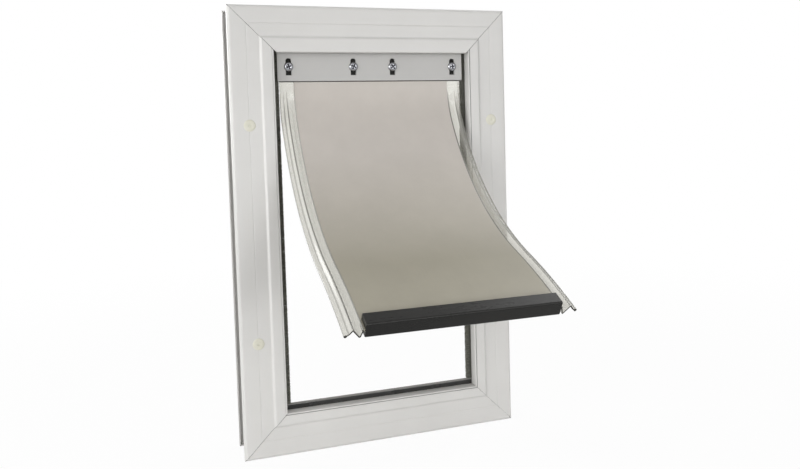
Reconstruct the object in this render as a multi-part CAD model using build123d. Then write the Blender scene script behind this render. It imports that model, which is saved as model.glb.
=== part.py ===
from build123d import *
import os
from math import cos, degrees, radians, sin

# A framed pet door for a hinged door leaf, in millimetres.
# X runs to the right seen from the room, Y from the room to the outdoors, Z up.
# The origin is the middle of the opening, in the plane where the room-side frame meets the leaf.

# Overall sizes
frame_width = 354.0
frame_height = 542.0
leaf_thickness = 44.5
wall = 1.6
mitre_gap = 0.4

# Room-side extrusion, measured from its outer edge towards the opening
leg_width = 52.6
flange_depth = 7.0
outer_round = 4.0
inner_round = 2.4
shoulder_at = 36.5
shoulder_run = 2.2
shoulder_rise = 2.5
shoulder_round = 2.5
groove_width = 1.2
groove_depth = 0.35
lip_round = 0.8
seam_inset = 1.9
seam_width = 1.1
seam_depth = 0.9
tunnel_end_gap = 10.5
tunnel_setback = 4.4
hood_drop = 3.0
hood_depth = 5.0
hood_round = 1.5

# Outdoor extrusion, which slides over the room-side one
tunnel_clearance = 0.5

# Hollow race that takes the corner keys, clamp screws and clamp nuts
race_at = 21.5
race_width = 8.0
rib = 1.4
key_length = 42.0
key_clearance = 0.2

# Channel for the pile strips and the sill strip
channel_start = 4.0
channel_mouth = 5.4
channel_lip = 1.2
channel_depth = 1.8
channel_width = 7.6
strip_base = 1.4
strip_clearance = 0.15
strip_end_gap = 0.4
pile_reach = 6.2
sill_reach = 7.2
sill_round = 2.0

# Clamp screws, their nuts and the plugs that hide them
clamp_share = 0.24
clamp_diameter = 4.0
clamp_hole = 4.8
clamp_head = 7.4
clamp_head_height = 2.6
clamp_tip_gap = 1.3
clamp_slot = 1.4
nut_length = 14.0
thread_clearance = 0.05
plug_head = 14.0
plug_rise = 1.2
plug_hole = 9.6
plug_clearance = 0.05
plug_dimple = 3.4
plug_dimple_depth = 0.6

# Retainer bar and its screws
bar_side_gap = 5.1
bar_drop = 36.4
bar_top_gap = 1.2
bar_front = 1.0
bar_thickness = 2.7
bar_chamfer = 0.4
slot_edge = 13.7
inner_slot_share = 0.24
slot_width = 7.0
slot_length = 20.5
screw_rise = 17.3
screw_diameter = 4.2
screw_head = 11.0
screw_head_height = 3.0
pan_curve = ((0.5, 0.0), (0.82, 0.16), (1.0, 0.55))
screw_tip = 3.0
recess_width = 1.6
recess_span = 6.0
recess_depth = 1.7
recess_turns = (35.0, 125.0)

# Header web that the flap is screwed to
header_side_gap = 1.4
header_thickness = 2.6
header_lift = 3.4

# Flap, a sheet bent in three tangent arcs with pleated sides
flap_thickness = 2.2
hinge_drop = 0.9
hinge_clearance = 0.4
hem_top_gap = 4.9
hem_hole = 5.0
flap_side_gap = 1.0
flap_sill_gap = 6.4
flat_top = 14.0
pleat_growth = 26.0
growth_steps = 3
bend_shares = (0.1425, 0.588, 0.2695)
bend_turns = (30.0, 40.0, -8.5)
pleats_width = 17.8
pleat_wall = 1.2
pleat_lap = 0.8
fold_stretch = 2.8
valley_in = 15.2
valley_depth = 8.1
peak_in = 8.2
peak_rise = 1.1
low_in = 4.9
low_depth = 3.4
bead_depth = 5.0
bead_radius = 1.6
bead_sides = 8

# Magnet strip on the flap's lower edge
magnet_strip_length = 16.2
magnet_strip_inset = 1.4
magnet_strip_above = 8.5
magnet_strip_below = 7.5
magnet_strip_round = 2.0
magnet_strip_end = 0.6
magnet_strip_floor = 1.8
sleeve_clearance = 0.1
magnet_inset = 8.0
magnet_width = 9.0
magnet_thickness = 3.8
magnet_clearance = 0.15

# Places that follow from the sizes above
half_width = frame_width / 2
half_height = frame_height / 2
jamb_x = half_width - leg_width
jamb_z = half_height - leg_width
raised = flange_depth + shoulder_rise
channel_end = channel_start + channel_mouth
channel_middle = channel_start + channel_mouth / 2
channel_low = channel_middle - channel_width / 2
channel_high = channel_middle + channel_width / 2
channel_floor = leg_width - channel_lip - channel_depth
channel_back = channel_floor - wall
tunnel_u = channel_back - tunnel_setback - wall
rear_leg = tunnel_u - tunnel_clearance
rear_face = leaf_thickness + flange_depth
tunnel_reach = leaf_thickness - tunnel_end_gap
race_low = race_at - race_width / 2
race_high = race_at + race_width / 2
clamp_x = half_width - race_at
clamp_height = clamp_share * frame_height
key_near = wall + key_clearance
key_far = flange_depth - wall - key_clearance
bar_half_width = jamb_x - bar_side_gap
bar_bottom = jamb_z - bar_drop
bar_back = bar_front + bar_thickness
flap_y = bar_back + flap_thickness / 2
hinge_z = bar_bottom - hinge_drop
hem_bottom = hinge_z + flap_thickness / 2 + hinge_clearance
header_front = bar_back + flap_thickness
header_back = header_front + header_thickness
header_bottom = hinge_z + header_lift
outer_slot = bar_half_width - slot_edge
slot_places = [share * outer_slot for share in (-1, -inner_slot_share, inner_slot_share, 1)]
screw_height = bar_bottom + screw_rise
pile_tip = jamb_x - pile_reach
header_half_width = pile_tip - header_side_gap
flap_half_width = pile_tip - flap_side_gap
panel_half_width = flap_half_width - pleats_width
magnet_strip_half_width = panel_half_width - magnet_strip_inset
magnet_half_width = magnet_strip_half_width - magnet_inset
flap_length = hinge_z + jamb_z - sill_reach - flap_sill_gap
bend_lengths = [share * flap_length for share in bend_shares]
sheet_end = flap_length - magnet_strip_floor - sleeve_clearance
past = 1.0

os.makedirs("parts", exist_ok=True)


def save(shape, name):
    export_step(shape, f"parts/{name}.step")


def block(x, y, z):
    """A box between two limits on each axis."""
    middle = [(low + high) / 2 for low, high in (x, y, z)]
    return Pos(*middle) * Box(*[abs(high - low) for low, high in (x, y, z)])


def patch(u, v):
    """A rectangle between two limits on each axis of a section."""
    return Pos(sum(u) / 2, sum(v) / 2) * Rectangle(abs(u[1] - u[0]), abs(v[1] - v[0]))


def rod(radius, x, z, y0, y1):
    """A cylinder along Y."""
    return Pos(x, (y0 + y1) / 2, z) * Rot(90, 0, 0) * Cylinder(radius, abs(y1 - y0))


def rounded(face, place, radius):
    """The section with the corner nearest to the place rounded."""
    corner = face.vertices().sort_by_distance((*place, 0))[0]
    return fillet(corner, radius)


# Extrusion sections: u runs from the outer edge to the opening, v from the leaf to the viewer
def race():
    """Two ribs and a shelf that close the race behind the face plate."""
    shelf = patch((race_low - rib, race_high + rib), (0, wall))
    low_rib = patch((race_low - rib, race_low), (0, flange_depth - wall / 2))
    high_rib = patch((race_high, race_high + rib), (0, flange_depth - wall / 2))
    return shelf + low_rib + high_rib


def vee(middle, level, width, depth):
    """A shallow V in a face of the section at the given level."""
    left = (middle - width / 2, level)
    right = (middle + width / 2, level)
    return make_face(Polyline(left, right, (middle, level - depth), close=True))


def front_section(has_channel):
    shoulder_top = shoulder_at + shoulder_run
    jamb_end = -channel_high - wall
    skin = make_face(
        Polyline(
            (0, 0),
            (0, flange_depth),
            (shoulder_at, flange_depth),
            (shoulder_top, raised),
            (leg_width, raised),
            (leg_width, jamb_end),
            (leg_width - wall, jamb_end),
            (leg_width - wall, raised - wall),
            (shoulder_top, raised - wall),
            (shoulder_at, flange_depth - wall),
            (wall, flange_depth - wall),
            (wall, 0),
            close=True,
        )
    )
    skin = rounded(skin, (0, flange_depth), outer_round)
    skin = rounded(skin, (wall, flange_depth - wall), outer_round - wall)
    skin = rounded(skin, (shoulder_at, flange_depth), shoulder_round)
    skin = rounded(skin, (shoulder_top, raised), shoulder_round)
    skin = rounded(skin, (leg_width, raised), lip_round)
    skin = rounded(skin, (leg_width - wall, raised - wall), inner_round - wall)
    tunnel = patch((tunnel_u, tunnel_u + wall), (raised - wall / 2, -tunnel_reach))
    web = patch((tunnel_u, leg_width), (-channel_high, jamb_end))
    section = skin + race() + tunnel + web - vee(race_at, flange_depth, groove_width, groove_depth)
    if has_channel:
        section -= vee(leg_width - seam_inset, raised, seam_width, seam_depth)
        section += patch((channel_back, leg_width), (-channel_low + wall, jamb_end))
        section -= patch((channel_floor, leg_width - channel_lip), (-channel_low, -channel_high))
        section -= patch((channel_floor, leg_width + past), (-channel_start, -channel_end))
        return section
    hood = patch((leg_width - wall, leg_width + hood_drop), (raised, raised - hood_depth))
    hood = rounded(hood, (leg_width + hood_drop, raised), hood_round)
    return section + hood


def rear_section():
    reach = leaf_thickness - (channel_high + wall)
    skin = make_face(
        Polyline(
            (0, 0),
            (0, flange_depth),
            (rear_leg, flange_depth),
            (rear_leg, -reach),
            (rear_leg - wall, -reach),
            (rear_leg - wall, flange_depth - wall),
            (wall, flange_depth - wall),
            (wall, 0),
            close=True,
        )
    )
    skin = rounded(skin, (0, flange_depth), outer_round)
    skin = rounded(skin, (wall, flange_depth - wall), outer_round - wall)
    skin = rounded(skin, (rear_leg, flange_depth), inner_round)
    skin = rounded(skin, (rear_leg - wall, flange_depth - wall), inner_round - wall)
    return skin + race()


def mitred_leg(section, length, distance, seat, viewer):
    """A leg along X below the origin, cut at 45 degrees; viewer is -1 for a face that looks to -Y."""
    plane = Plane(origin=(viewer * length / 2, seat, -distance), x_dir=(0, 0, 1), z_dir=(-viewer, 0, 0))
    bar = extrude(plane * section, length)
    outer = length / 2 - mitre_gap / 2**0.5
    deep = 2 * leg_width
    wedge = make_face(
        Polyline(
            (-outer - past, -distance - past),
            (outer + past, -distance - past),
            (outer - deep, -distance + deep),
            (deep - outer, -distance + deep),
            close=True,
        )
    )
    return bar & extrude(Plane.XZ * wedge, 2 * rear_face, both=True)


def turned(leg, degrees):
    return Rot(0, degrees, 0) * leg


# Room-side frame
front_stile = mitred_leg(front_section(True), frame_height, half_width, 0, -1)
for place in (-clamp_height, clamp_height):
    front_stile -= rod(plug_hole / 2, place, -clamp_x, -flange_depth - past, -flange_depth + wall)
    front_stile -= rod(clamp_hole / 2, place, -clamp_x, -wall - past, past)
save(turned(front_stile, 90), "front_left_stile")
save(turned(front_stile, -90), "front_right_stile")
save(mitred_leg(front_section(True), frame_width, half_height, 0, -1), "front_bottom_rail")

front_top = turned(mitred_leg(front_section(False), frame_width, half_height, 0, -1), 180)
header_x = (-header_half_width, header_half_width)
front_top += block(header_x, (header_front, header_back), (header_bottom, jamb_z + wall / 2))
for place in slot_places:
    tap = screw_diameter / 2 + thread_clearance
    front_top -= rod(tap, place, screw_height, header_front - past, header_back + past)
save(front_top, "front_top_rail")

# Outdoor frame
rear_stile = mitred_leg(rear_section(), frame_height, half_width, leaf_thickness, 1)
for place in (-clamp_height, clamp_height):
    rear_stile -= rod(clamp_hole / 2, place, -clamp_x, leaf_thickness - past, leaf_thickness + wall + past)
save(turned(rear_stile, 90), "rear_left_stile")
save(turned(rear_stile, -90), "rear_right_stile")
rear_rail = mitred_leg(rear_section(), frame_width, half_height, leaf_thickness, 1)
save(rear_rail, "rear_bottom_rail")
save(turned(rear_rail, 180), "rear_top_rail")


# Corner keys in the races of both frames
def corner_keys(y0, y1):
    near = race_low + key_clearance
    far = race_high - key_clearance
    keys = []
    for side in (-1, 1):
        for end in (-1, 1):
            x_near = side * (half_width - near)
            x_far = side * (half_width - far)
            z_near = end * (half_height - near)
            z_far = end * (half_height - far)
            flat_leg = block((x_near, x_near - side * key_length), (y0, y1), (z_near, z_far))
            upright_leg = block((x_near, x_far), (y0, y1), (z_near, z_near - end * key_length))
            keys.append(flat_leg + upright_leg)
    return Compound(children=keys)


save(corner_keys(-key_far, -key_near), "front_corner_keys")
save(corner_keys(leaf_thickness + key_near, leaf_thickness + key_far), "rear_corner_keys")

# Clamp screws, nuts and plugs
clamp_places = [(x, z) for x in (-clamp_x, clamp_x) for z in (-clamp_height, clamp_height)]


def turned_on_y(*points):
    """A turned piece: points are radius and Y, from the axis round to the axis."""
    return revolve(make_face(Polyline(*points, close=True)), Axis.Y)


def clamp_screw(x, z):
    top = -wall - clamp_head_height
    tip = leaf_thickness + key_far - clamp_tip_gap
    radius = clamp_diameter / 2
    screw = turned_on_y(
        (0, top), (clamp_head / 2, top), (clamp_head / 2, -wall), (radius, -wall), (radius, tip), (0, tip)
    )
    slot_y = (top - past, top + clamp_head_height / 2)
    screw -= block((-clamp_head, clamp_head), slot_y, (-clamp_slot / 2, clamp_slot / 2))
    return Pos(x, 0, z) * screw


def clamp_nut(x, z):
    across = race_width / 2 - key_clearance
    y = (leaf_thickness + key_near, leaf_thickness + key_far)
    nut = block((x - across, x + across), y, (z - nut_length / 2, z + nut_length / 2))
    return nut - rod(clamp_diameter / 2 + thread_clearance, x, z, y[0] - past, y[1] + past)


def hole_plug(x, z):
    top = -flange_depth - plug_rise
    inner_end = -flange_depth + wall
    shank = plug_hole / 2 - plug_clearance
    plug = turned_on_y(
        (0, top + plug_dimple_depth),
        (plug_dimple / 2, top),
        (plug_head / 2 - plug_rise, top),
        (plug_head / 2, -flange_depth),
        (shank, -flange_depth),
        (shank, inner_end),
        (0, inner_end),
    )
    return Pos(x, 0, z) * plug


save(Compound(children=[clamp_screw(*place) for place in clamp_places]), "clamp_screws")
save(Compound(children=[clamp_nut(*place) for place in clamp_places]), "clamp_nuts")
save(Compound(children=[hole_plug(*place) for place in clamp_places]), "hole_plugs")

# Retainer bar with its adjusting slots, round at the top and square at the bottom
bar_x = (-bar_half_width, bar_half_width)
bar = block(bar_x, (bar_front, bar_back), (bar_bottom, jamb_z - bar_top_gap))
bar = chamfer(bar.faces().sort_by(Axis.Y)[0].edges(), bar_chamfer)
slot_arc_z = screw_height + slot_length / 2 - slot_width / 2
for place in slot_places:
    slot_x = (place - slot_width / 2, place + slot_width / 2)
    bar -= block(slot_x, (bar_front - past, bar_back + past), (screw_height - slot_length / 2, slot_arc_z))
    bar -= rod(slot_width / 2, place, slot_arc_z, bar_front - past, bar_back + past)
save(bar, "flap_retainer_bar")


def retainer_screw(x):
    top = bar_front - screw_head_height
    tip = header_back + screw_tip
    radius = screw_diameter / 2
    pan = [(r * screw_head / 2, top + h * screw_head_height) for r, h in pan_curve]
    screw = turned_on_y(
        (0, top), *pan, (screw_head / 2, bar_front), (radius, bar_front), (radius, tip), (0, tip)
    )
    for turn in recess_turns:
        screw -= Pos(0, top, 0) * Rot(0, turn, 0) * Box(recess_span, 2 * recess_depth, recess_width)
    return Pos(x, 0, screw_height) * screw


save(Compound(children=[retainer_screw(x) for x in slot_places]), "retainer_screws")


# Pile strips and sill strip: a flat base held in the channel, with a body through its mouth
def channel_strip(half_length, distance, reach, top_round):
    """A strip along X in the channel of a leg that lies below the origin."""
    inside = -distance - channel_lip
    base_y = (channel_low + strip_clearance, channel_high - strip_clearance)
    body_y = (channel_start + strip_clearance, channel_end - strip_clearance)
    length = (-half_length, half_length)
    base = block(length, base_y, (inside - strip_clearance, inside - strip_clearance - strip_base))
    body = block(length, body_y, (inside - strip_clearance - strip_base / 2, -distance + reach))
    top_edges = body.edges().filter_by(Axis.X).sort_by(Axis.Z)[-2:]
    return fillet(top_edges, top_round) + base


save(channel_strip(jamb_x - strip_end_gap, jamb_z, sill_reach, sill_round), "sill_strip")
pile_bottom = -jamb_z + sill_reach + strip_end_gap
pile_top = jamb_z - strip_end_gap
pile = channel_strip((pile_top - pile_bottom) / 2, jamb_x, pile_reach, strip_clearance)
pile_lift = Pos(0, 0, (pile_top + pile_bottom) / 2)
save(pile_lift * turned(pile, 90), "left_pile_strip")
save(pile_lift * turned(pile, -90), "right_pile_strip")


# Flap: stations along its middle line, which starts straight down at the hinge
def stations():
    """The place, slope and turning centre at the start of each bend."""
    y, z, slope = flap_y, hinge_z, 0.0
    found = []
    for length, turn in zip(bend_lengths, bend_turns):
        reach = length / radians(turn)
        centre_y = y - reach * cos(radians(slope))
        centre_z = z + reach * sin(radians(slope))
        found.append((centre_y, centre_z, reach, slope))
        slope += turn
        y = centre_y + reach * cos(radians(slope))
        z = centre_z - reach * sin(radians(slope))
    return found


bends = stations()


def sheet_plane(s):
    """The plane across the sheet at a length s below the hinge: X along it, Y towards its upper side."""
    start = 0.0
    for index, length in enumerate(bend_lengths):
        if s <= start + length or index == len(bends) - 1:
            break
        start += length
    centre_y, centre_z, reach, slope = bends[index]
    angle = radians(slope) + (s - start) / reach
    place = (0, centre_y + reach * cos(angle), centre_z - reach * sin(angle))
    return Plane(origin=place, x_dir=(1, 0, 0), z_dir=(0, -sin(angle), -cos(angle)))


def swept(section, s0, s1):
    """The section carried along the sheet's bends from s0 to s1."""
    pieces = []
    start = 0.0
    for (centre_y, centre_z, reach, _), length in zip(bends, bend_lengths):
        low = max(s0, start)
        high = min(s1, start + length)
        if high > low:
            way = -1 if reach > 0 else 1
            axis = Axis((0, centre_y, centre_z), (way, 0, 0))
            turn = degrees((high - low) / abs(reach))
            pieces.append(revolve(sheet_plane(low) * section, axis, turn))
        start += length
    return pieces


pleat_line = (
    (pleats_width + pleat_lap, 0),
    (valley_in, -valley_depth),
    (peak_in, peak_rise),
    (low_in, -low_depth),
    (bead_radius, -bead_depth),
)


def pleat_points(amount):
    """The pleat's two faces as one closed outline; amount 0 is flat, 1 is fully folded."""
    line = [Vector(flap_half_width - inward, n * amount) for inward, n in pleat_line]
    sides = []
    for index, point in enumerate(line):
        before = line[max(index - 1, 0)]
        after = line[min(index + 1, len(line) - 1)]
        into = (point - before).normalized() if index > 0 else (after - point).normalized()
        away = (after - point).normalized() if index < len(line) - 1 else into
        bisector = (into + away).normalized()
        normal = Vector(-bisector.Y, bisector.X)
        stretch = min(1 / into.dot(bisector), fold_stretch)
        sides.append(normal * (stretch * pleat_wall / 2))
    upper = [point + side for point, side in zip(line, sides)]
    lower = [point - side for point, side in zip(line, sides)]
    return upper + lower[::-1]


def pleat_face(amount):
    return make_face(Polyline(*[(p.X, p.Y) for p in pleat_points(amount)], close=True))


def bead_face(amount):
    turn = 180 / bead_sides
    return Pos(flap_half_width - bead_radius, -bead_depth * amount) * Rot(0, 0, turn) * RegularPolygon(
        bead_radius, bead_sides, major_radius=False
    )


def other_side(shape):
    return mirror(shape, about=Plane.YZ)


panel_sheet = Rectangle(2 * panel_half_width, flap_thickness)
top_sheet = Rectangle(2 * flap_half_width, flap_thickness)
side = pleat_face(1) + bead_face(1)
grown = flat_top + pleat_growth
roll = Pos(0, flap_y, hinge_z) * Rot(0, 90, 0) * Cylinder(flap_thickness / 2, 2 * flap_half_width)
sheet = swept(top_sheet, 0, flat_top) + swept(panel_sheet, flat_top, grown)
sheet += swept(panel_sheet + side + other_side(side), grown, sheet_end)
growth_start = flat_top - pleat_lap
growth = [growth_start + (grown - growth_start) * step / growth_steps for step in range(growth_steps + 1)]
for step in range(growth_steps):
    for outline in (pleat_face, bead_face):
        ends = [sheet_plane(growth[i]) * outline(i / growth_steps) for i in (step, step + 1)]
        fold = loft(ends, ruled=True)
        sheet += [fold, other_side(fold)]
flap_panel = roll.fuse(*sheet)
save(flap_panel, "flap_panel")

# Hem of the flap, clamped between the retainer bar and the header web
hem_x = (-flap_half_width, flap_half_width)
hem = block(hem_x, (bar_back, header_front), (hem_bottom, jamb_z - hem_top_gap))
for place in slot_places:
    hem -= rod(hem_hole / 2, place, screw_height, bar_back - past, header_front + past)
save(hem, "flap_hem")

# Magnet strip: a sleeve slit for the sheet, with a pocket for the magnet under it
strip_plane = sheet_plane(flap_length - magnet_strip_length / 2)
strip_n = (-magnet_strip_below, magnet_strip_above)
strip_s = (-magnet_strip_length / 2, magnet_strip_length / 2)
sleeve = block((-magnet_strip_half_width, magnet_strip_half_width), strip_n, strip_s)
sleeve = fillet(sleeve.edges().filter_by(Axis.X), magnet_strip_round)
sleeve = chamfer(sleeve.faces().filter_by(Plane.YZ).edges(), magnet_strip_end)
slit = flap_thickness / 2 + sleeve_clearance
slit_x = (-magnet_strip_half_width - past, magnet_strip_half_width + past)
sleeve -= block(slit_x, (-slit, slit), (strip_s[0] - past, strip_s[1] - magnet_strip_floor))
pocket_x = magnet_half_width + magnet_clearance
pocket_n = (-slit - magnet_thickness - 2 * magnet_clearance, -slit + past)
pocket_s = magnet_width / 2 + magnet_clearance
sleeve -= block((-pocket_x, pocket_x), pocket_n, (-pocket_s, pocket_s))
save(strip_plane * sleeve, "flap_magnet_strip")
magnet_n = (pocket_n[0] + magnet_clearance, pocket_n[0] + magnet_clearance + magnet_thickness)
magnet = block((-magnet_half_width, magnet_half_width), magnet_n, (-magnet_width / 2, magnet_width / 2))
save(strip_plane * magnet, "flap_magnet")
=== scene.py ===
import bpy
import math
import numpy as np
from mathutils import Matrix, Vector


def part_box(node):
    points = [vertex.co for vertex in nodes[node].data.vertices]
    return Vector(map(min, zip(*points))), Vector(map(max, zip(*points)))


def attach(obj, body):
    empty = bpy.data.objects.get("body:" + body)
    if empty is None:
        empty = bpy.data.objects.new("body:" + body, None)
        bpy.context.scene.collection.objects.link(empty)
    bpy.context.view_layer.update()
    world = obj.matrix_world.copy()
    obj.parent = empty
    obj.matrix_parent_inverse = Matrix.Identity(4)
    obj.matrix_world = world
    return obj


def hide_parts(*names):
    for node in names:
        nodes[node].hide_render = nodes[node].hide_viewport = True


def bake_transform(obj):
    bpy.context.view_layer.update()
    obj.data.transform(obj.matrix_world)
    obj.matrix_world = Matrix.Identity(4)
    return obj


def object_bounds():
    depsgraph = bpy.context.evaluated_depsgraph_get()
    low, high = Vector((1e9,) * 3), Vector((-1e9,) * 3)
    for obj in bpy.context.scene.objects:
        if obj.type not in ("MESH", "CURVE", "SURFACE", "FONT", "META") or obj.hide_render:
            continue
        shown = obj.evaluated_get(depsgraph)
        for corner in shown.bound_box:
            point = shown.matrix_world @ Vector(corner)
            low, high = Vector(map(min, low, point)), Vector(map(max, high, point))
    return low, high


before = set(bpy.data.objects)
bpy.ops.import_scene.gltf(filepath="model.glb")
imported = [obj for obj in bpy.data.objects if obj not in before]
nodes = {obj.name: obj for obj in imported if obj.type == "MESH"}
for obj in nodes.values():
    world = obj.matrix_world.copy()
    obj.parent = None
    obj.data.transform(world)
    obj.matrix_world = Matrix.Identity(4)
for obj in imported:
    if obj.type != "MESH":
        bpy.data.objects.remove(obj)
cadBox = [list(corner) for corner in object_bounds()]
mm = 0.001
rng = np.random.default_rng(7)
print("frame loaded:", len(nodes), "nodes")


# A new Principled material; each keyword is one of its sockets, with _ for a space
def newMaterial(name, **sockets):
    material = bpy.data.materials.new(name)
    material.use_nodes = True
    shader = material.node_tree.nodes["Principled BSDF"]
    for label, value in sockets.items():
        shader.inputs[label.replace("_", " ")].default_value = value
    return material, material.node_tree, shader


# A node of one kind; a keyword sets the input of that name, or else the node's own setting
def addNode(tree, kind, **values):
    node = tree.nodes.new(kind)
    for key, value in values.items():
        if key in node.inputs.keys():
            node.inputs[key].default_value = value
        else:
            setattr(node, key, value)
    return node


# Links an output to a socket, or sets the socket where the value is a plain one
def feed(tree, value, socket):
    if hasattr(value, "is_linked"):
        tree.links.new(value, socket)
    else:
        socket.default_value = value


# One step of arithmetic on one or two values
def maths(tree, operation, first, second=0.0):
    node = addNode(tree, "ShaderNodeMath", operation=operation)
    feed(tree, first, node.inputs[0])
    feed(tree, second, node.inputs[1])
    return node.outputs[0]


# The first value plus a share of the second
def addShare(tree, first, second, share):
    node = addNode(tree, "ShaderNodeMath", operation="MULTIPLY_ADD")
    for place, value in enumerate((second, share, first)):
        feed(tree, value, node.inputs[place])
    return node.outputs[0]


# Smooth step: goes from the first value to the last while the input goes from start to end
def smoothRange(tree, value, start, end, first, last):
    node = addNode(tree, "ShaderNodeMapRange", interpolation_type="SMOOTHSTEP")
    labels = ("From Min", "From Max", "To Min", "To Max")
    for label, number in zip(labels, (start, end, first, last)):
        node.inputs[label].default_value = number
    tree.links.new(value, node.inputs["Value"])
    return node.outputs["Result"]


# X, Y and Z of a vector
def axes(tree, vector):
    split = addNode(tree, "ShaderNodeSeparateXYZ")
    tree.links.new(vector, split.inputs[0])
    return split.outputs


# A value kept on the points of the mesh
def ownAttribute(tree, name):
    return addNode(tree, "ShaderNodeAttribute", attribute_name=name).outputs["Fac"]


# Noise on Object coordinates, stretched by a scale per axis (features per metre)
def grain(tree, scale, detail=3.0, roughness=0.5, stretch=(1, 1, 1)):
    coords = addNode(tree, "ShaderNodeTexCoord")
    mapping = addNode(tree, "ShaderNodeMapping")
    mapping.inputs["Scale"].default_value = [scale * s for s in stretch]
    noise = addNode(tree, "ShaderNodeTexNoise", Scale=1.0, Detail=detail, Roughness=roughness)
    tree.links.new(coords.outputs["Object"], mapping.inputs["Vector"])
    tree.links.new(mapping.outputs["Vector"], noise.inputs["Vector"])
    return noise.outputs["Fac"]


# A soft change between two colours, or two grey values, along a factor
def ramp(tree, factor, low, high, start=0.3, end=0.7):
    node = addNode(tree, "ShaderNodeValToRGB")
    first, last = node.color_ramp.elements
    first.position, last.position = start, end
    first.color = low if hasattr(low, "__len__") else (low, low, low, 1)
    last.color = high if hasattr(high, "__len__") else (high, high, high, 1)
    tree.links.new(factor, node.inputs["Fac"])
    return node.outputs["Color"]


# Goes from the first colour to the second as the factor grows, or multiplies them
def blendColours(tree, factor, first, second, mode="MIX"):
    node = addNode(tree, "ShaderNodeMix", data_type="RGBA", blend_type=mode)
    for place, value in ((0, factor), (6, first), (7, second)):   # the sockets of its colour form
        feed(tree, value, node.inputs[place])
    return node.outputs[2]


# Tilts the normal by the slope of a height; distance is the metres that a height of 1 stands for
def bump(tree, shader, height, distance):
    node = addNode(tree, "ShaderNodeBump", Strength=1.0, Distance=distance)
    tree.links.new(height, node.inputs["Height"])
    tree.links.new(node.outputs["Normal"], shader.inputs["Normal"])


# Baked white enamel over an extrusion: faint cloudiness, orange peel and die lines along its length.
# The mitres' saw cuts are bare metal, painted dark as the shade inside the mitre gaps.
enamel = {
    "light": (0.640, 0.632, 0.615, 1),
    "dull": (0.605, 0.598, 0.582, 1),
    "barShare": 0.72,
    "cloudSize": 9,
    "shine": 0.4,
    "coat": 0.12,
    "coatRough": 0.2,
    "gloss": 0.34,
    "matt": 0.46,
    "peelSize": 700,
    "peelHeight": 0.00003,
    "dieLines": 500,
    "dieStretch": 0.01,
    "dieShare": 0.5,
    "sawn": (0.10, 0.10, 0.10, 1),
    "sawnLean": 0.45,
    "seamInset": 1.9 * mm,
    "seamHalf": 0.65 * mm,
    "seamShare": 0.9,
    "seamShade": (0.10, 0.097, 0.09, 1),
}


# Sawn where the normal's X times its Z is close to a half, as it is at 45 degrees
def sawnFaces(tree):
    normal = axes(tree, addNode(tree, "ShaderNodeNewGeometry").outputs["True Normal"])
    lean = maths(tree, "ABSOLUTE", maths(tree, "MULTIPLY", normal["X"], normal["Z"]))
    return maths(tree, "GREATER_THAN", lean, enamel["sawnLean"])


# Painted shade in the seam round the opening: full at a fixed distance from the middle, none a half width
# away
def seamShadeBand(tree, across, middle):
    place = axes(tree, addNode(tree, "ShaderNodeTexCoord").outputs["Object"])[across]
    off = maths(tree, "SUBTRACT", maths(tree, "ABSOLUTE", place), middle)
    return smoothRange(tree, maths(tree, "ABSOLUTE", off), 0, enamel["seamHalf"], enamel["seamShare"], 0)


# Enamel with its die lines along one axis, its colour times a share, and a painted seam shade line where one
# is given
def enamelFinish(name, along, share=1.0, seam=None):
    material, tree, shader = newMaterial(
        name,
        Specular_IOR_Level=enamel["shine"],
        Coat_Weight=enamel["coat"],
        Coat_Roughness=enamel["coatRough"],
    )
    dull, light = ([*(share * c for c in enamel[key][:3]), 1] for key in ("dull", "light"))
    coat = ramp(tree, grain(tree, enamel["cloudSize"], 4), dull, light)
    if seam:
        coat = blendColours(tree, seamShadeBand(tree, *seam), coat, enamel["seamShade"])
    # painted shade: the cut mitre faces go dark, as the inside of the mitre gaps
    colour = blendColours(tree, sawnFaces(tree), coat, enamel["sawn"])
    tree.links.new(colour, shader.inputs["Base Color"])
    stretch = [enamel["dieStretch"] if axis == along else 1 for axis in "XYZ"]
    lines = grain(tree, enamel["dieLines"], 2, 0.6, stretch)
    tree.links.new(ramp(tree, lines, enamel["gloss"], enamel["matt"]), shader.inputs["Roughness"])
    peel = grain(tree, enamel["peelSize"], 2)
    bump(tree, shader, addShare(tree, peel, lines, enamel["dieShare"]), enamel["peelHeight"])
    return material


tinted = {
    # upper and lower: the vinyl's tinted colour with a painted shade, darker down the sheet where it faces up
    "upper": (0.555, 0.518, 0.478, 1),
    "lower": (0.385, 0.360, 0.288, 1),
    "fadeFrom": 0.25,
    "fadeTo": 0.75,
    "edgeShadeLine": (0.09, 0.085, 0.07, 1),
    "mottle": (0.93, 0.93, 0.93, 1),
    "mottleSize": 22,
    "flowSize": 260,
    "flowStretch": 0.02,
    "flowShare": 0.6,
    "grainSize": 1500,
    "grainHeight": 0.00005,
    "gloss": 0.34,
    "matt": 0.44,
    "index": 1.5,
    "shine": 0.35,
}


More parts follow.
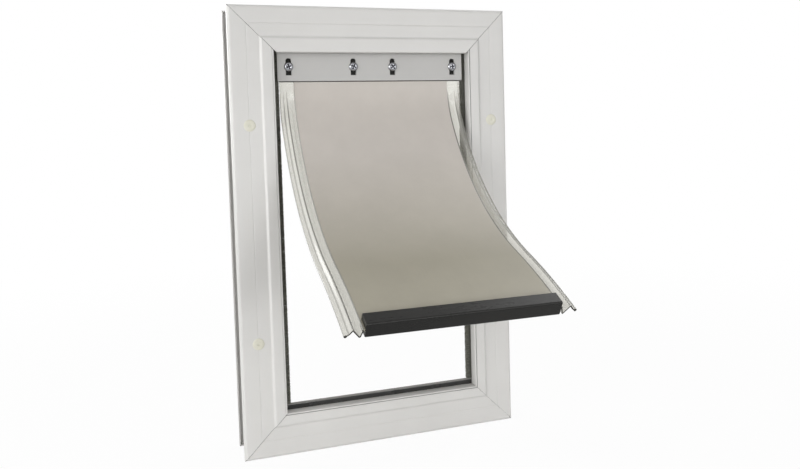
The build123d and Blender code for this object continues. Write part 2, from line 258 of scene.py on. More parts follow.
# Tinted vinyl of the flap's middle: tinted colour with a painted shade that darkens it down the sheet, times
# a soft mottle, with a painted shade line at its edges, fine matt grain and faint flow lines
def tintedVinyl():
    material, tree, shader = newMaterial(
        "flapTintedVinyl", IOR=tinted["index"], Specular_IOR_Level=tinted["shine"])
    mottle = grain(tree, tinted["mottleSize"], 5, 0.65)
    flow = grain(tree, tinted["flowSize"], 2, 0.5, (1, tinted["flowStretch"], tinted["flowStretch"]))
    fine = grain(tree, tinted["grainSize"], 2)
    down = ownAttribute(tree, "down")
    tintAndShade = ramp(tree, down, tinted["upper"], tinted["lower"], tinted["fadeFrom"], tinted["fadeTo"])
    cloud = ramp(tree, mottle, tinted["mottle"], (1, 1, 1, 1))
    sheet = blendColours(tree, 1.0, tintAndShade, cloud, "MULTIPLY")
    colour = blendColours(tree, ownAttribute(tree, "fold"), sheet, tinted["edgeShadeLine"])
    tree.links.new(colour, shader.inputs["Base Color"])
    tree.links.new(ramp(tree, flow, tinted["gloss"], tinted["matt"]), shader.inputs["Roughness"])
    bump(tree, shader, addShare(tree, fine, flow, tinted["flowShare"]), tinted["grainHeight"])
    return material


clearVinyl = {
    "clear": (0.79, 0.78, 0.73, 1),
    "cloudy": (0.74, 0.73, 0.68, 1),
    "fold": (0.10, 0.096, 0.082, 1),
    "seeThrough": 0.80,
    "foldThrough": 0.1,
    "roughness": 0.12,
    "index": 1.08,
    "coat": 0.7,
    "coatRough": 0.12,
    "coatIndex": 1.45,
    "streakSize": 40,
    "streakStretch": 0.1,
    "streakHeight": 0.00004,
}


# Clear vinyl of the pleats: see-through with a warm grey cast, with painted shade lines along the folds,
# where it is also less see-through.
# A low index keeps the view through a wall straight, and the clear coat carries the gloss.
def pleatVinyl():
    material, tree, shader = newMaterial(
        "flapClearVinyl",
        IOR=clearVinyl["index"],
        Roughness=clearVinyl["roughness"],
        Coat_Weight=clearVinyl["coat"],
        Coat_Roughness=clearVinyl["coatRough"],
        Coat_IOR=clearVinyl["coatIndex"],
    )
    fold = ownAttribute(tree, "fold")
    along = clearVinyl["streakStretch"]
    streak = grain(tree, clearVinyl["streakSize"], 3, 0.5, (1, along, along))
    pale = ramp(tree, streak, clearVinyl["cloudy"], clearVinyl["clear"])
    colour = blendColours(tree, fold, pale, clearVinyl["fold"])
    tree.links.new(colour, shader.inputs["Base Color"])
    through = ramp(tree, fold, clearVinyl["seeThrough"], clearVinyl["foldThrough"], 0.0, 1.0)
    tree.links.new(through, shader.inputs["Transmission Weight"])
    bump(tree, shader, streak, clearVinyl["streakHeight"])
    return material


cutEdge = {
    "dark": (0.022, 0.021, 0.018, 1),
    "light": (0.042, 0.040, 0.035, 1),
    "markSize": 900,
    "roughness": 0.5,
    "shine": 0.3,
}


# The sheet's cut lower edge: dark, with fine knife marks
def cutVinyl():
    material, tree, shader = newMaterial(
        "flapCutEdge", Roughness=cutEdge["roughness"], Specular_IOR_Level=cutEdge["shine"])
    marks = grain(tree, cutEdge["markSize"], 2, 0.6)
    tree.links.new(ramp(tree, marks, cutEdge["dark"], cutEdge["light"]), shader.inputs["Base Color"])
    return material


shadeTape = {
    "dark": (0.012, 0.012, 0.011, 1),
    "light": (0.035, 0.034, 0.031, 1),
    "weaveSize": 1600,
    "weaveHeight": 0.0001,
    "roughness": 0.8,
    "shine": 0.2,
}


# The part of the sheet that the bar clamps has a dark woven tape on it, with threads longer upwards: a
# painted shade that keeps the bar's slots dark
def hemShadeTape():
    material, tree, shader = newMaterial(
        "flapHemShadeTape", Roughness=shadeTape["roughness"], Specular_IOR_Level=shadeTape["shine"])
    weave = grain(tree, shadeTape["weaveSize"], 2, 0.6, (1, 1, 0.5))
    tree.links.new(ramp(tree, weave, shadeTape["dark"], shadeTape["light"]), shader.inputs["Base Color"])
    bump(tree, shader, weave, shadeTape["weaveHeight"])
    return material


darkPlastics = {
    "magnetSleeve": {
        "dark": (0.007, 0.0068, 0.006, 1),
        "light": (0.012, 0.0116, 0.010, 1),
        "gloss": 0.24,
        "matt": 0.33,
        "grainSize": 1400,
        "shine": 0.19,
        "dustAndSheen": 0.02,
    },
    "sillPlastic": {
        "dark": (0.012, 0.012, 0.011, 1),
        "light": (0.022, 0.022, 0.020, 1),
        "gloss": 0.22,
        "matt": 0.34,
        "grainSize": 1100,
        "shine": 0.4,
        "dustAndSheen": 0.6,
    },
    "mitreSealant": {
        "dark": (0.05, 0.05, 0.048, 1),
        "light": (0.08, 0.08, 0.076, 1),
        "gloss": 0.5,
        "matt": 0.7,
        "grainSize": 900,
        "shine": 0.3,
        "dustAndSheen": 0.0,
    },
}
wear = {
    "scuffSize": 45,
    "scuffStretch": 0.25,
    "dustAndSheenColour": (0.40, 0.39, 0.37, 1),
    "dustAndSheenFrom": 0.05,
    "dustAndSheenTo": 0.7,
    "grainHeight": 0.00006,
}


# Dark plastics: scuffs along X, a fine moulded grain, and a light tone that grows with the normal's upward
# share: part dusting, part painted sheen on the tops
def darkPlastic(name):
    finish = darkPlastics[name]
    material, tree, shader = newMaterial(name, Specular_IOR_Level=finish["shine"])
    scuffs = grain(tree, wear["scuffSize"], 5, 0.65, (wear["scuffStretch"], 1, 1))
    upward = axes(tree, addNode(tree, "ShaderNodeTexCoord").outputs["Normal"])["Z"]
    # lighter on up-facing faces: part dusting, part painted sheen
    dustAndSheenShare = ramp(tree, upward, 0.0, finish["dustAndSheen"], wear["dustAndSheenFrom"], wear["dustAndSheenTo"])
    colour = ramp(tree, scuffs, finish["dark"], finish["light"], 0.35, 0.75)
    withDustAndSheen = blendColours(tree, dustAndSheenShare, colour, wear["dustAndSheenColour"])
    tree.links.new(withDustAndSheen, shader.inputs["Base Color"])
    tree.links.new(ramp(tree, scuffs, finish["gloss"], finish["matt"]), shader.inputs["Roughness"])
    bump(tree, shader, grain(tree, finish["grainSize"], 2), wear["grainHeight"])
    return material


plate = {
    "dark": (0.24, 0.245, 0.26, 1),
    "light": (0.36, 0.365, 0.385, 1),
    "grease": (0.03, 0.03, 0.035, 1),
    "gloss": 0.10,
    "matt": 0.22,
    "spotSize": 900,
    "spotHeight": 0.00001,
}


# Bright zinc with fine spots, and painted shade where the recess attribute is high
def zincPlate():
    material, tree, shader = newMaterial("brightZinc", Metallic=1.0)
    spots = grain(tree, plate["spotSize"], 3, 0.6)
    clean = ramp(tree, spots, plate["dark"], plate["light"])
    colour = blendColours(tree, ownAttribute(tree, "recess"), clean, plate["grease"])
    tree.links.new(colour, shader.inputs["Base Color"])
    tree.links.new(ramp(tree, spots, plate["gloss"], plate["matt"]), shader.inputs["Roughness"])
    bump(tree, shader, spots, plate["spotHeight"])
    return material


ivoryTone = {
    "dark": (0.610, 0.598, 0.505, 1),
    "light": (0.650, 0.638, 0.550, 1),
    "gloss": 0.3,
    "matt": 0.42,
    "shine": 0.5,
    "cloudSize": 160,
    "grainSize": 1200,
    "grainHeight": 0.00002,
}


# Ivory plastic of the plugs: a cloudy tone and gloss over a fine moulded grain
def plugPlastic():
    material, tree, shader = newMaterial("ivoryPlug", Specular_IOR_Level=ivoryTone["shine"])
    clouds = grain(tree, ivoryTone["cloudSize"], 3)
    tree.links.new(ramp(tree, clouds, ivoryTone["dark"], ivoryTone["light"]), shader.inputs["Base Color"])
    tree.links.new(ramp(tree, clouds, ivoryTone["gloss"], ivoryTone["matt"]), shader.inputs["Roughness"])
    bump(tree, shader, grain(tree, ivoryTone["grainSize"], 2), ivoryTone["grainHeight"])
    return material


yarnTone = {
    "dark": (0.04, 0.04, 0.032, 1),
    "light": (0.25, 0.25, 0.20, 1),
    "roughness": 0.85,
    "sheen": 0.35,
    "sheenRough": 0.5,
}


# Pile yarn: each fibre goes from dark to light by its own tone
def pileYarn():
    material, tree, shader = newMaterial(
        "pileYarn",
        Roughness=yarnTone["roughness"],
        Sheen_Weight=yarnTone["sheen"],
        Sheen_Roughness=yarnTone["sheenRough"],
    )
    colour = ramp(tree, ownAttribute(tree, "tone"), yarnTone["dark"], yarnTone["light"], 0.0, 1.0)
    tree.links.new(colour, shader.inputs["Base Color"])
    return material


hiddenParts = {
    "millAluminium": {
        "dark": (0.55, 0.56, 0.57, 1),
        "light": (0.68, 0.69, 0.70, 1),
        "metallic": 1.0,
        "gloss": 0.35,
        "matt": 0.5,
    },
    "ferrite": {
        "dark": (0.05, 0.05, 0.05, 1),
        "light": (0.09, 0.09, 0.09, 1),
        "metallic": 0.0,
        "gloss": 0.5,
        "matt": 0.7,
    },
    "spotSize": 300,
}


# Parts inside: spots that change both tone and gloss
def plainFinish(name):
    finish = hiddenParts[name]
    material, tree, shader = newMaterial(name, Metallic=finish["metallic"])
    spots = grain(tree, hiddenParts["spotSize"], 4, 0.6)
    tree.links.new(ramp(tree, spots, finish["dark"], finish["light"]), shader.inputs["Base Color"])
    tree.links.new(ramp(tree, spots, finish["gloss"], finish["matt"]), shader.inputs["Roughness"])
    return material


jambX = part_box("front_right_stile")[0][0]
jambZ = -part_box("front_bottom_rail")[1][2]
railEnamel = enamelFinish("railEnamel", "X")
stileEnamel = enamelFinish("stileEnamel", "Z")
# painted shade: the right stile and the bottom rail carry a dark line in the seam round the opening
seamStileEnamel = enamelFinish("seamStileEnamel", "Z", 1.0, ("X", jambX + enamel["seamInset"]))
sillRailEnamel = enamelFinish("sillRailEnamel", "X", 1.0, ("Z", jambZ + enamel["seamInset"]))
barEnamel = enamelFinish("barEnamel", "X", enamel["barShare"])
sleevePlastic = darkPlastic("magnetSleeve")
sillPlastic = darkPlastic("sillPlastic")
zinc = zincPlate()
ivory = plugPlastic()
yarn = pileYarn()
millMetal = plainFinish("millAluminium")
sealant = darkPlastic("mitreSealant")
ferrite = plainFinish("ferrite")
print("materials ready")

cadFinishes = {
    "clamp_nuts": zinc,
    "clamp_screws": zinc,
    "flap_magnet": ferrite,
    "flap_magnet_strip": sleevePlastic,
    "flap_retainer_bar": barEnamel,
    "front_corner_keys": millMetal,
    "rear_corner_keys": millMetal,
    "sill_strip": sillPlastic,
}
for side in ("front", "rear"):
    for leg in ("top_rail", "bottom_rail"):
        cadFinishes[f"{side}_{leg}"] = railEnamel
    for leg in ("left_stile", "right_stile"):
        cadFinishes[f"{side}_{leg}"] = stileEnamel
cadFinishes["front_bottom_rail"] = sillRailEnamel
cadFinishes["front_right_stile"] = seamStileEnamel
for name, material in cadFinishes.items():
    for materialSlot in nodes[name].material_slots:
        materialSlot.material = material
print("finishes on", len(cadFinishes), "solids")


# Turns arrays of points and faces into an object at the origin
def meshPiece(name, points, faces, materials, materialIndex=None, smooth=True, sharpAngle=None):
    mesh = bpy.data.meshes.new(name)
    faceList = faces.tolist() if hasattr(faces, "tolist") else faces
    mesh.from_pydata(points.reshape(-1, 3).tolist(), [], faceList)
    for material in materials:
        mesh.materials.append(material)
    if materialIndex is not None:
        mesh.polygons.foreach_set("material_index", np.asarray(materialIndex, np.int32))
    mesh.polygons.foreach_set("use_smooth", np.full(len(mesh.polygons), smooth))
    if sharpAngle:
        mesh.set_sharp_from_angle(angle=math.radians(sharpAngle))
    mesh.validate()
    mesh.update()
    piece = bpy.data.objects.new(name, mesh)
    bpy.context.scene.collection.objects.link(piece)
    return piece


# Keeps one number per point on the mesh, for its material
def pointAttribute(piece, name, values):
    attribute = piece.data.attributes.new(name, "FLOAT", "POINT")
    attribute.data.foreach_set("value", np.asarray(values, np.float32).ravel())


# Quads between neighbouring rows and columns of a grid whose columns close into rings
def ringQuads(rows, columns):
    index = np.arange(rows * columns).reshape(rows, columns)
    right = np.roll(index, -1, axis=1)
    return np.stack([index[:-1], right[:-1], right[1:], index[1:]], -1).reshape(-1, 4)


# Joins points that lie on each other, as at a pole, and drops the repeats from each face
def weldPoints(points, faces):
    weldGap = 0.001 * mm
    places = np.round(points.reshape(-1, 3) / weldGap).astype(np.int64)
    kept, moved = np.unique(places, axis=0, return_index=True, return_inverse=True)[1:]
    faceList = [list(dict.fromkeys(face)) for face in moved.ravel()[faces].tolist()]
    return points.reshape(-1, 3)[kept], [face for face in faceList if len(face) > 2], kept


# Goes from 0 to 1 with no kink at either end: three squares less two cubes
def smoothStep(value):
    value = np.clip(value, 0, 1)
    return value * value * (3 - 2 * value)


# Running total that starts at 0
def fromZero(values):
    return np.concatenate([[0], np.cumsum(values)])


# Points of a circle of radius 1 about Y
def unitCircle(angles):
    return np.stack([np.cos(angles), np.zeros_like(angles), np.sin(angles)], -1)


# Flap: a pleated section carried along a path of tangent arcs (folds and shifts in millimetres)
flap = {
    "bendShares": (0.1425, 0.588, 0.2695),
    "bendTurns": (30, 40, -8.5),
    "length": 385.9 * mm,
    "cutShort": 1.9 * mm,
    "thickness": 2.2 * mm,
    "pleatWall": 1.3 * mm,
    "wallChange": 1.2 * mm,
    "panelHalf": 99.4 * mm,
    "panelGap": 0.25 * mm,
    "panelSlack": 0.1 * mm,
    "foldsIn": (17.8, 15.2, 8.2, 4.9, 1.6),
    "foldsUp": (0.0, -8.1, 1.1, -3.4, -5.0),
    "leftShade": (0.3, 0.0, 1.0, 0.5, 0.0),
    "leftShift": (0.0, 0.0, -0.5, 0.0, 0.0),
    "rightShade": (1.0, 0.0, 0.8, 0.4, 0.0),
    "rightShift": (0.0, 0.0, 0.9, 0.0, 0.0),
    "foldLine": 0.7 * mm,
    "rimShade": 0.75,
    "rimLine": 0.8 * mm,
    "beadRadius": 1.6 * mm,
    "flatTop": 10 * mm,
    "growth": 34 * mm,
    "stations": 230,
    "hemStations": 8,
    "pathSteps": 4001,
    "pleatPoints": 76,
    "panelColumns": 36,
    "edgeColumns": 5,
    "foldRounding": 7,
    "sharpAngle": 38,
    "bendAbove": 1 * mm,
    "bendZone": 12 * mm,
}


# Path: the slope grows in straight lines with length, so each stretch is an arc. The place is the running
# sum of the slope's sine outwards and of its cosine downwards. The hem goes straight up from the hinge.
def flapPath(hingeY, hingeZ, hemLength):
    hem = np.linspace(-hemLength, 0, flap["hemStations"])[:-1]
    reach = flap["length"] - flap["cutShort"]
    along = np.concatenate([hem, np.linspace(0, reach, flap["stations"])])
    knots = flap["length"] * fromZero(flap["bendShares"])
    turns = np.radians(fromZero(flap["bendTurns"]))
    fine = np.linspace(0, flap["length"], flap["pathSteps"])
    fineSlope = np.interp(fine, knots, turns)
    step = fine[1] - fine[0]
    sine, cosine = np.sin(fineSlope), np.cos(fineSlope)
    outward = fromZero((sine[1:] + sine[:-1]) / 2 * step)
    downward = fromZero((cosine[1:] + cosine[:-1]) / 2 * step)
    slope = np.interp(along, knots, turns)
    pathY = hingeY - np.interp(along, fine, outward)
    pathZ = hingeZ - np.interp(along, fine, downward) - np.minimum(along, 0)
    return along, slope, pathY, pathZ


# Middle line of a pleat from the panel's edge to the bead, in even steps, its folds rounded by a moving mean
def pleatLine(halfWidth):
    foldX = halfWidth - np.array(flap["foldsIn"]) * mm
    foldN = np.array(flap["foldsUp"]) * mm
    lastX, lastN = np.diff(foldX)[-1], np.diff(foldN)[-1]
    tip = flap["beadRadius"] / math.hypot(lastX, lastN)
    foldX = np.append(foldX, foldX[-1] + tip * lastX)
    foldN = np.append(foldN, foldN[-1] + tip * lastN)
    runs = fromZero(np.hypot(np.diff(foldX), np.diff(foldN)))
    even = np.linspace(0, runs[-1], flap["pleatPoints"])
    kernel = np.ones(flap["foldRounding"]) / flap["foldRounding"]
    pad = flap["foldRounding"] // 2
    lineX = np.interp(even, runs, foldX)
    lineN = np.interp(even, runs, foldN)
    lineX[pad:-pad] = np.convolve(lineX, kernel, "valid")
    lineN[pad:-pad] = np.convolve(lineN, kernel, "valid")
    return lineX, lineN, runs, even


# Painted shade lines: a bell curve across each of the folds and along the rim, at the place and strength of
# that side
def pleatShade(side, runs, even):
    rim = flap["rimShade"] * np.exp(-((runs[-1] - even) / flap["rimLine"]) ** 2)
    darkest = runs[:-1] + np.array(flap[f"{side}Shift"]) * mm
    bell = np.exp(-((even[None, :] - darkest[:, None]) / flap["foldLine"]) ** 2)
    folds = np.max(np.array(flap[f"{side}Shade"])[:, None] * bell, axis=0)
    return np.maximum(folds, rim)


# Whole section: left pleat, panel, right pleat. The half thickness goes smoothly from the panel's to the
# pleat's, and follows a half circle at the bead.
def flapSection(halfWidth):
    lineX, lineN, runs, even = pleatLine(halfWidth)
    panelEdge = flap["panelHalf"] - flap["panelGap"]
    edgeSteps = panelEdge - flap["foldLine"] * np.arange(flap["edgeColumns"]) / 2
    middle = np.linspace(-1, 1, flap["panelColumns"])[1:-1] * edgeSteps[-1]
    panelX = np.concatenate([-edgeSteps, middle, edgeSteps[::-1]])
    edgeShade = np.where(panelX < 0, flap["leftShade"][0], flap["rightShade"][0])
    panelShade = edgeShade * np.exp(-((flap["panelHalf"] - np.abs(panelX)) / flap["foldLine"]) ** 2)
    left, right = (pleatShade(side, runs, even) for side in ("left", "right"))
    sectionX = np.concatenate([-lineX[::-1], panelX, lineX])
    sectionN = np.concatenate([lineN[::-1], np.zeros_like(panelX), lineN])
    shade = np.concatenate([left[::-1], panelShade, right])
    fromBead = runs[-1] - even
    fromEdge = np.concatenate([fromBead[::-1], np.full(len(panelX), runs[-1]), fromBead])
    beadRadius = flap["beadRadius"]
    roundEnd = np.sqrt(np.clip(beadRadius ** 2 - (fromEdge - beadRadius) ** 2, 0, None))
    wallShare = smoothStep((runs[-1] - fromEdge) / flap["wallChange"])
    wall = (flap["thickness"] + (flap["pleatWall"] - flap["thickness"]) * wallShare) / 2
    half = np.where(fromEdge < beadRadius, roundEnd, np.maximum(wall, roundEnd))
    return sectionX, sectionN, half, shade


# The section at every station, a half thickness to each side of its middle line. Its pleats grow from flat
# below the top, by a smooth step along the path.
def flapSheet():
    hemLow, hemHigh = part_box("flap_hem")
    hingeY = (hemLow[1] + hemHigh[1]) / 2
    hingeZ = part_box("flap_panel")[1][2] - flap["thickness"] / 2
    along, slope, pathY, pathZ = flapPath(hingeY, hingeZ, hemHigh[2] - hingeZ)
    sectionX, sectionN, half, shade = flapSection(hemHigh[0])

    amount = smoothStep((along - flap["flatTop"]) / flap["growth"])[:, None]
    middleN = sectionN[None, :] * amount
    middleX = np.broadcast_to(sectionX, middleN.shape)
    tangentX = np.gradient(middleX, axis=1)
    tangentN = np.gradient(middleN, axis=1)
    size = np.hypot(tangentX, tangentN)
    offX, offN = -tangentN / size * half, tangentX / size * half
    upper = np.stack([middleX + offX, middleN + offN], -1)
    lower = np.stack([middleX - offX, middleN - offN], -1)
    ring = np.concatenate([upper, lower[:, -2:0:-1]], axis=1)
    x, n = ring[..., 0], ring[..., 1]
    y = pathY[:, None] - np.cos(slope)[:, None] * n
    z = pathZ[:, None] + np.sin(slope)[:, None] * n
    points = np.stack([x, y, z], -1)

    # faces: the tube of rings, and a strip of quads across each end
    rows, columns = ring.shape[:2]
    across = len(sectionX)
    tube = ringQuads(rows, columns)[:, ::-1]
    column = np.arange(across - 1)
    opposite = (columns - np.arange(across)) % columns
    cap = np.stack([column, column + 1, opposite[1:], opposite[:-1]], -1)
    lastRow = (rows - 1) * columns
    faces = np.concatenate([tube, cap, lastRow + cap[:, ::-1]])

    # finishes: panel and pleats, the cut end, and dark tape on the hem as painted shade behind the bar's
    # slots
    panelSkin, pleatSkin, cutSkin, shadeTapeSkin = range(4)
    isPanel = np.abs(sectionX) < flap["panelHalf"] - flap["panelSlack"]
    panelFace = isPanel[:-1] & isPanel[1:]
    ringFace = np.concatenate([panelFace, panelFace[::-1]])
    tubeSkin = np.tile(np.where(ringFace, panelSkin, pleatSkin), (rows - 1, 1))
    tubeSkin[along[1:] <= 0] = shadeTapeSkin
    endSkin = np.where(panelFace, panelSkin, cutSkin)
    skins = np.concatenate([tubeSkin.ravel(), np.full(across - 1, shadeTapeSkin), endSkin])
    finishes = [tintedVinyl(), pleatVinyl(), cutVinyl(), hemShadeTape()]

    # quads with a repeated point, at the sheet's two edges, become triangles
    faceList = [list(dict.fromkeys(face)) for face in faces.tolist()]
    piece = meshPiece("flapSheet", points, faceList, finishes, skins, True, flap["sharpAngle"])
    ringShade = np.concatenate([shade, shade[-2:0:-1]])
    # painted shade lines along the pleats' folds, faded in as the pleats grow
    pointAttribute(piece, "fold", ringShade[None, :] * np.sqrt(amount))
    # the share down the sheet, which carries the flap's painted shade
    pointAttribute(piece, "down", np.clip(along / along[-1], 0, 1)[:, None] * np.ones((1, columns)))
    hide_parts("flap_hem", "flap_panel")
    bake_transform(piece)


flapSheet()
print("flap sheet made")

# Pile: rows of thin tapering fibres on a T-shaped backing
pile = {
    "spacing": 0.5 * mm,
    "rows": 9,
    "fibreRadius": 0.28 * mm,
    "middleShare": 0.55,
    "tipShare": 0.55,
    "lean": 0.4 * mm,
    "leanPower": 1.6,
    "uneven": 0.7 * mm,
    "unevenSpread": 0.45,
    "turnRange": 6.28,
    "tone": 0.5,
    "toneSpread": 0.22,
    "rootShadeTone": 0.25,
    "backingShadeTone": 0.06,
    "backing": 0.42,
    "proud": 0.85 * mm,
    "bodyInset": 1.1 * mm,
    "lip": 1.4 * mm,
}
ringCorners = 3
fibreRings = 3


# Fibres: a fibre is three rings of three points. It runs straight out from the jamb and leans aside by a
# random amount, which grows as a power of the share of its length. Its tone grows with that share: painted
# shade at the roots.
def pileFibres(low, high, jamb, inward, reach):
    inset = pile["bodyInset"] + pile["fibreRadius"]
    count = int((high[2] - low[2]) / pile["spacing"])
    rootZ, rootY = np.meshgrid(
        np.linspace(low[2] + pile["fibreRadius"], high[2] - pile["fibreRadius"], count),
        np.linspace(low[1] + inset, high[1] - inset, pile["rows"]),
        indexing="ij",
    )
    rootZ, rootY = rootZ.ravel()[:, None, None], rootY.ravel()[:, None, None]
    total = len(rootZ)
    lean = rng.normal(0, pile["lean"], (total, 2))
    short = np.abs(rng.normal(0, pile["unevenSpread"], total)) * pile["uneven"]
    turn = rng.uniform(0, pile["turnRange"], (total, 1, 1))
    tone = np.clip(rng.normal(pile["tone"], pile["toneSpread"], total), 0, 1)[:, None, None]

    share = np.array([0, pile["middleShare"], 1])[None, :, None]
    length = (reach + pile["proud"] - short)[:, None, None]
    radius = pile["fibreRadius"] * (1 + (pile["tipShare"] - 1) * share)
    corner = turn + (2 * np.pi / ringCorners * np.arange(ringCorners))[None, None, :]
    bow = share ** pile["leanPower"]
    x = jamb + inward * length * share + np.zeros_like(corner)
    y = rootY + lean[:, 0, None, None] * bow + radius * np.cos(corner)
    z = rootZ + lean[:, 1, None, None] * bow + radius * np.sin(corner)
    points = np.stack([x, np.clip(y, low[1], high[1]), np.clip(z, low[2], high[2])], -1)
    tones = tone * (pile["rootShadeTone"] + (1 - pile["rootShadeTone"]) * share) + np.zeros_like(corner)

    sides = ringQuads(fibreRings, ringCorners)
    ends = np.array([[0, 2, 1], [6, 7, 8]])
    first = (np.arange(total) * fibreRings * ringCorners)[:, None, None]
    turned = slice(None, None, inward)   # faces of the right-hand strip go the other way round
    quads = (first + sides[None, :, turned]).reshape(-1, 4)
    tips = (first + ends[None, :, turned]).reshape(-1, 3)
    return points.reshape(-1, 3), quads.tolist() + tips.tolist(), tones.ravel()


# Backing: a T profile carried up the jamb, with a cap at each end
def pileBacking(low, high, baseX, bodyX, inward, offset):
    bodyLow, bodyHigh = low[1] + pile["bodyInset"], high[1] - pile["bodyInset"]
    lipX = baseX + inward * pile["lip"]
    profile = np.array([
        (baseX, low[1]), (baseX, high[1]), (lipX, high[1]), (lipX, bodyHigh),
        (bodyX, bodyHigh), (bodyX, bodyLow), (lipX, bodyLow), (lipX, low[1]),
    ])
    count = len(profile)
    levels = [np.column_stack([profile, np.full(count, height)]) for height in (low[2], high[2])]
    walls = offset + ringQuads(2, count)[:, ::-inward]
    bottom = offset + np.arange(count)[::inward]
    caps = [bottom.tolist(), (count + bottom[::-1]).tolist()]
    return np.concatenate(levels), walls.tolist() + caps


# One strip: fibres from the jamb to a little past the CAD strip's face, on a backing in its channel
def pileStrip(side):
    node = f"{side}_pile_strip"
    low, high = (np.array(corner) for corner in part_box(node))
    if side == "left":
        inward, baseX, tipX = 1, low[0], high[0]
        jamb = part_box("front_left_stile")[1][0]
    else:
        inward, baseX, tipX = -1, high[0], low[0]
        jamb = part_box("front_right_stile")[0][0]
    reach = abs(tipX - jamb)
    fibres, fibreFaces, tones = pileFibres(low, high, jamb, inward, reach)
    bodyX = jamb + inward * pile["backing"] * reach
    backing, backingFaces = pileBacking(low, high, baseX, bodyX, inward, len(fibres))
    points = np.concatenate([fibres, backing])
    piece = meshPiece(f"{side}Pile", points, fibreFaces + backingFaces, [yarn], None, False)
    # painted shade: the backing, whose body reaches far out among the fibres, takes a near-black tone
    pointAttribute(piece, "tone", np.concatenate([tones, np.full(len(backing), pile["backingShadeTone"])]))
    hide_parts(node)
    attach(piece, "frame")
    return len(fibres) // (fibreRings * ringCorners)


for side in ("left", "right"):
    print(side, "pile fibres:", pileStrip(side))

screw = {
    "headRadius": 5.5 * mm,
    "headHeight": 3.0 * mm,
    "domeShare": 0.62,
    "domePower": 4,
    "rimHeight": 0.3 * mm,
    "shankRadius": 2.1 * mm,
    "crossLong": 3.5 * mm,
    "crossWide": 0.95 * mm,
    "crossDepth": 1.7 * mm,
    "crossSoft": 0.22 * mm,
    "crossFade": 1.0 * mm,
    "innerShare": 0.24,
    "angles": (22, 64, 38, 10),
    "corners": 96,
    "sharpAngle": 40,
}


# One bar of the cross: full inside its width and length, with soft sides and longer fading ends
def crossBar(across, along):
    width = smoothStep((screw["crossWide"] - np.abs(across)) / screw["crossSoft"])
    return width * smoothStep((screw["crossLong"] - np.abs(along)) / screw["crossFade"])


# Pan heads on plain shanks: a dome that drops as a power of the radius, with a cross pressed in.
# The cross is as deep as the nearer of its two bars.
def retainerScrews():
    low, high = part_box("retainer_screws")
    outer = high[0] - screw["headRadius"]
    height = (low[2] + high[2]) / 2
    top = low[1]
    seat = top + screw["headHeight"]
    shares = np.concatenate([np.linspace(0, 0.9, 40), np.linspace(0.92, 1, 8)])
    angles = np.linspace(0, 2 * np.pi, screw["corners"], endpoint=False)
    radius, angle = np.meshgrid(screw["headRadius"] * shares, angles, indexing="ij")
    share = radius / screw["headRadius"]
    dome = screw["domeShare"] * screw["headHeight"] * share ** screw["domePower"]

    # below the dome: rim, seat, shank and its closed end
    ringRadii = np.array([screw["headRadius"]] * 2 + [screw["shankRadius"]] * 2 + [0])
    body = ringRadii[:, None, None] * unitCircle(angles)[None]
    body[..., 1] = np.array([seat - screw["rimHeight"], seat, seat, high[1], high[1]])[:, None]
    rows = len(shares) + len(body)
    quads = ringQuads(rows, screw["corners"])[:, ::-1]

    allPoints, allFaces, allRecess = [], [], []
    for place, turn in zip((-1, -screw["innerShare"], screw["innerShare"], 1), screw["angles"]):
        u = radius * np.cos(angle - math.radians(turn))
        v = radius * np.sin(angle - math.radians(turn))
        cross = np.maximum(crossBar(u, v), crossBar(v, u))
        y = top + dome + screw["crossDepth"] * cross
        head = np.stack([radius * np.cos(angle), y, radius * np.sin(angle)], -1)
        allFaces.append(len(allPoints) * rows * screw["corners"] + quads)
        allPoints.append(np.concatenate([head, body]) + np.array([place * outer, 0, height]))
        allRecess.append(np.concatenate([cross, np.zeros(body.shape[:2])]))
    points, faces, kept = weldPoints(np.concatenate(allPoints), np.concatenate(allFaces))
    piece = meshPiece("retainerScrews", points, faces, [zinc], None, True, screw["sharpAngle"])
    # the cross's recess share, which the zinc turns into painted shade
    pointAttribute(piece, "recess", np.concatenate(allRecess).ravel()[kept])
    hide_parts("retainer_screws")
    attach(piece, "frame")


retainerScrews()
print("retainer screws made")

plug = {
    "headRadius": 7.0 * mm,
    "rise": 1.2 * mm,
    "rimShare": 0.75,
    "rimPower": 6,
    "shankRadius": 4.75 * mm,
    "dimpleRadius": 1.7 * mm,
    "dimpleDepth": 0.6 * mm,
    "dimpleSoft": 0.5 * mm,
    "corners": 64,
    "sharpAngle": 40,
}


